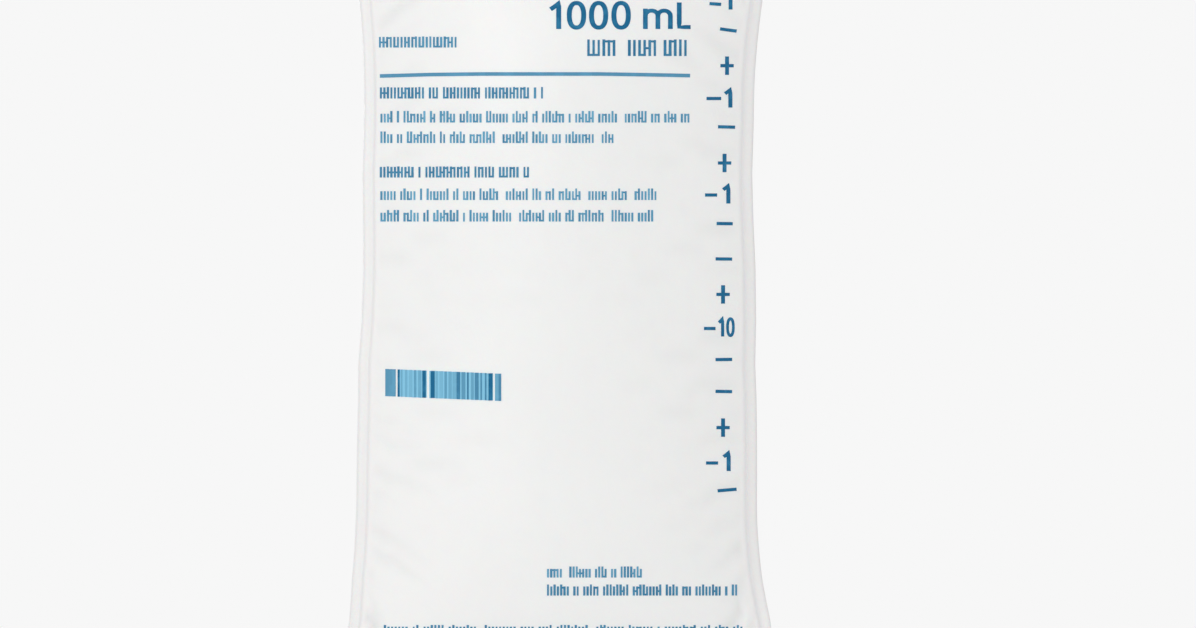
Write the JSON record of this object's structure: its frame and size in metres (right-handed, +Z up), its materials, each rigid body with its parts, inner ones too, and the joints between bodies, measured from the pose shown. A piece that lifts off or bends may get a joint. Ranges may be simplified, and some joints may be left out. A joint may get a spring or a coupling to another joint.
{
  "type": "iv fluid bag",
  "caption": "Filled one-litre IV fluid bag hanging from its header slot, with a capped outlet port and an additive port.",
  "frame": {"origin": "middle of the upper edge of the hanging slot, in the bag's middle plane, where a hook carries the bag", "axes": "+Z up along the hanging bag, +X across it to the right as seen from the printed front, which faces -Y"},
  "size_m": [0.148, 0.055, 0.359],
  "materials": {
    "film": "satin",
    "port_plastic": "gloss",
    "membrane_plastic": "satin",
    "cap_plastic": "satin",
    "rubber": "matte",
    "ring_plastic": "satin"
  },
  "bodies": {
    "filled_bag": {"bag": "film", "outlet_port": "port_plastic", "outlet_membrane": "membrane_plastic", "additive_port": "port_plastic", "additive_septum": "rubber", "additive_collar": "ring_plastic"},
    "cap": {"outlet_cap": "cap_plastic"}
  },
  "joints": [
    {"name": "cap_pull", "type": "slide", "parent": "filled_bag", "child": "cap", "axis": [0, 0, -1], "range_m": [0, 0.03]}
  ]
}
